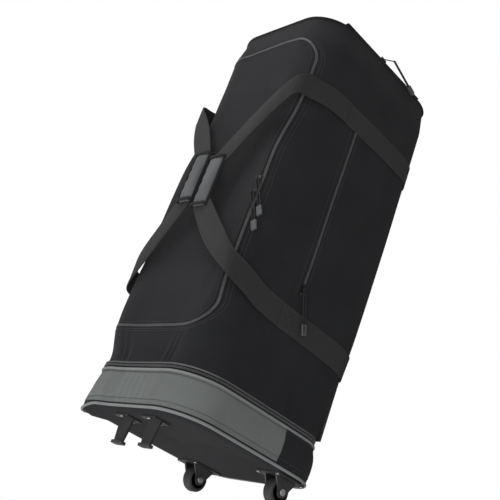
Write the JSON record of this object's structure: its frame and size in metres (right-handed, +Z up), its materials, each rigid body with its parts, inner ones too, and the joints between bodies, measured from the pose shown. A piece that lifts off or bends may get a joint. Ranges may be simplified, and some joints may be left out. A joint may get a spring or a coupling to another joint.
{
  "type": "wheeled hockey equipment bag",
  "caption": "Large soft rectangular sports bag with a zipped lid, webbing handles, side and end pockets, a lower compartment, wheels and stand feet at one end.",
  "frame": {"origin": "bottom centre of the whole bag's box, on the surface that it rests on", "axes": "+X from the wheel end to the far end, -Y towards the side pocket, +Z up through the lid"},
  "size_m": [0.9778, 0.3534, 0.4315],
  "materials": {
    "body_fabric": "matt woven polyester, black",
    "band_fabric": "ribbed grey polyester",
    "piping": "light grey woven binding",
    "webbing": "black ribbed webbing",
    "grip_fabric": "padded grey nylon with black binding",
    "zip_teeth": "coiled nylon teeth, dark grey",
    "slider_metal": "black enamelled metal",
    "cord": "braided black cord",
    "pull_rubber": "moulded dark grey pull",
    "lining": "coated lining",
    "board": "fluted stiffening board",
    "moulding": "fine textured black moulding",
    "tyre": "black wheel tread",
    "hub": "black moulded hub",
    "bearing_steel": "plain steel",
    "fastener": "bright steel"
  },
  "bodies": {
    "root": {"underside_panel": "body_fabric", "near_side_panel": "body_fabric", "far_side_panel": "body_fabric", "top_strip_wheel_end": "body_fabric", "top_strip_far_end": "body_fabric", "far_end_panel": "body_fabric", "pocket_zip": "zip_teeth", "far_end_zip": "zip_teeth", "lid_zip_outer": "zip_teeth", "wheel_end_panel": "body_fabric", "wheel_end_board": "board", "grey_band": "band_fabric", "base_wrap": "body_fabric", "compartment_zip": "zip_teeth", "divider": "lining", "wheel_end_piping": "piping", "compartment_piping": "piping", "pocket_lining": "lining", "far_end_pocket_lining": "lining", "base_board": "board", "skid_rails": "moulding", "skid_rivets": "fastener", "near_web_legs": "webbing", "far_web_legs": "webbing", "near_wheel_housing": "moulding", "far_wheel_housing": "moulding", "wheel_axles": "fastener", "stand_feet": "moulding", "panel_screws": "fastener", "tow_tabs": "webbing"},
    "lid": {"lid_panel": "body_fabric", "lid_zip_inner": "zip_teeth"},
    "near_handle": {"near_strap_wheel_end": "webbing", "near_strap_far_end": "webbing", "near_grip": "grip_fabric"},
    "far_handle": {"far_strap_wheel_end": "webbing", "far_strap_far_end": "webbing", "far_grip": "grip_fabric"},
    "near_wheel": {"near_tyre": "tyre", "near_hub": "hub", "near_bearings": "bearing_steel"},
    "far_wheel": {"far_tyre": "tyre", "far_hub": "hub", "far_bearings": "bearing_steel"},
    "lid_slider_far": {"lid_slider_far": "slider_metal"},
    "lid_slider_wheel": {"lid_slider_wheel": "slider_metal"},
    "lid_pull_far": {"lid_pull_cord_far": "cord", "lid_pull_tip_far": "pull_rubber"},
    "lid_pull_wheel": {"lid_pull_cord_wheel": "cord", "lid_pull_tip_wheel": "pull_rubber"},
    "pocket_slider": {"pocket_slider": "slider_metal"},
    "pocket_pull": {"pocket_pull_cord": "cord", "pocket_pull_tip": "pull_rubber"},
    "compartment_slider": {"compartment_slider": "slider_metal"},
    "compartment_pull": {"compartment_pull_cord": "cord", "compartment_pull_tip": "pull_rubber"},
    "far_end_slider": {"far_end_slider": "slider_metal"},
    "far_end_pull": {"far_end_pull_cord": "cord", "far_end_pull_tip": "pull_rubber"},
    "tow_handle": {"tow_handle": "webbing"}
  },
  "joints": [
    {"name": "near_handle_swing", "type": "hinge", "parent": "root", "child": "near_handle", "pos_m": [0, -0.168, 0.257], "axis": [1, 0, 0], "range_deg": [0, 168]},
    {"name": "far_handle_swing", "type": "hinge", "parent": "root", "child": "far_handle", "pos_m": [0, 0.168, 0.257], "axis": [-1, 0, 0], "range_deg": [0, 168]},
    {"name": "lid_fold", "type": "hinge", "parent": "root", "child": "lid", "pos_m": [0, 0.135, 0.39], "axis": [-1, 0, 0], "range_deg": [0, 45.86]},
    {"name": "near_wheel_spin", "type": "hinge", "parent": "root", "child": "near_wheel", "pos_m": [-0.46025, -0.12, 0.078], "axis": [0, 1, 0], "continuous": true},
    {"name": "far_wheel_spin", "type": "hinge", "parent": "root", "child": "far_wheel", "pos_m": [-0.46025, 0.12, 0.078], "axis": [0, 1, 0], "continuous": true},
    {"name": "lid_slider_far_slide", "type": "slide", "parent": "lid", "child": "lid_slider_far", "axis": [1, 0, 0], "range_m": [0, 0.2045]},
    {"name": "lid_slider_wheel_slide", "type": "slide", "parent": "lid", "child": "lid_slider_wheel", "axis": [-1, 0, 0], "range_m": [0, 0.05865]},
    {"name": "lid_pull_far_lift", "type": "hinge", "parent": "lid_slider_far", "child": "lid_pull_far", "pos_m": [0.04225, -0.138, 0.3967], "axis": [-0.3907, 0.9205, 0], "range_deg": [0, 150]},
    {"name": "lid_pull_wheel_lift", "type": "hinge", "parent": "lid_slider_wheel", "child": "lid_pull_wheel", "pos_m": [0.01025, -0.138, 0.3967], "axis": [-0.3907, 0.9205, 0], "range_deg": [0, 150]},
    {"name": "pocket_slider_slide", "type": "slide", "parent": "root", "child": "pocket_slider", "axis": [1, 0, 0], "range_m": [0, 0.361]},
    {"name": "pocket_pull_lift", "type": "hinge", "parent": "pocket_slider", "child": "pocket_pull", "pos_m": [-0.10375, -0.1717, 0.22], "axis": [-0.3907, 0, 0.9205], "range_deg": [0, 90]},
    {"name": "compartment_slider_slide", "type": "slide", "parent": "root", "child": "compartment_slider", "axis": [0, 0, 1], "range_m": [0, 0.193]},
    {"name": "compartment_pull_lift", "type": "hinge", "parent": "compartment_slider", "child": "compartment_pull", "pos_m": [-0.34775, 0.1717, 0.156], "axis": [1, 0, 0], "range_deg": [0, 150]},
    {"name": "far_end_slider_slide", "type": "slide", "parent": "root", "child": "far_end_slider", "axis": [0, 0, 1], "range_m": [-0.09, 0.121]},
    {"name": "far_end_pull_lift", "type": "hinge", "parent": "far_end_slider", "child": "far_end_pull", "pos_m": [0.48795, -0.152, 0.204], "axis": [0, -1, 0], "range_deg": [0, 150]},
    {"name": "tow_handle_swing", "type": "hinge", "parent": "root", "child": "tow_handle", "pos_m": [0.48425, 0, 0.256], "axis": [0, -1, 0], "range_deg": [0, 150]}
  ],
  "couplings": [
    {"joint": "far_handle_swing", "follows": "near_handle_swing", "ratio": 1},
    {"joint": "lid_fold", "follows": "near_handle_swing", "ratio": 0.27}
  ]
}
